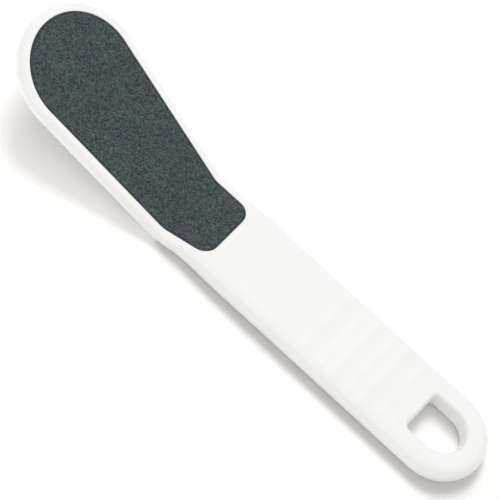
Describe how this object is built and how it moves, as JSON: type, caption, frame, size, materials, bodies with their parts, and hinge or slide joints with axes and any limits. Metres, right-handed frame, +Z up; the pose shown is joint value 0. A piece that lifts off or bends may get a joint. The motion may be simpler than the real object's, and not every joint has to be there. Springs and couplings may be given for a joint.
{
  "type": "foot file",
  "caption": "Foot file: a white moulded handle with low grip waves and a D-shaped hang hole, bending up into a paddle with an abrasive laminate set flush in each face.",
  "frame": {"origin": "bottom centre of the bounding box: the middle of the file's length and width, on the plane that the handle's underside rests on", "axes": "+X along the handle towards the hang hole, +Y across the file, +Z up out of the front face"},
  "size_m": [0.208, 0.048, 0.0275],
  "materials": {
    "white_plastic": "injection moulded white polypropylene, satin, with a faint moulded skin",
    "adhesive": "clear, slightly yellow pressure-sensitive film",
    "backing_sheet": "resin-filled woven backing of abrasive cloth",
    "coarse_grit": "coarse dark slate grit bonded in resin, with small bright grain faces",
    "fine_grit": "finer dark slate grit bonded in resin"
  },
  "bodies": {
    "root": {"handle_body": "white_plastic", "front_adhesive_film": "adhesive", "front_backing_sheet": "backing_sheet", "front_grit_coat": "coarse_grit", "rear_adhesive_film": "adhesive", "rear_backing_sheet": "backing_sheet", "rear_grit_coat": "fine_grit"}
  },
  "joints": []
}
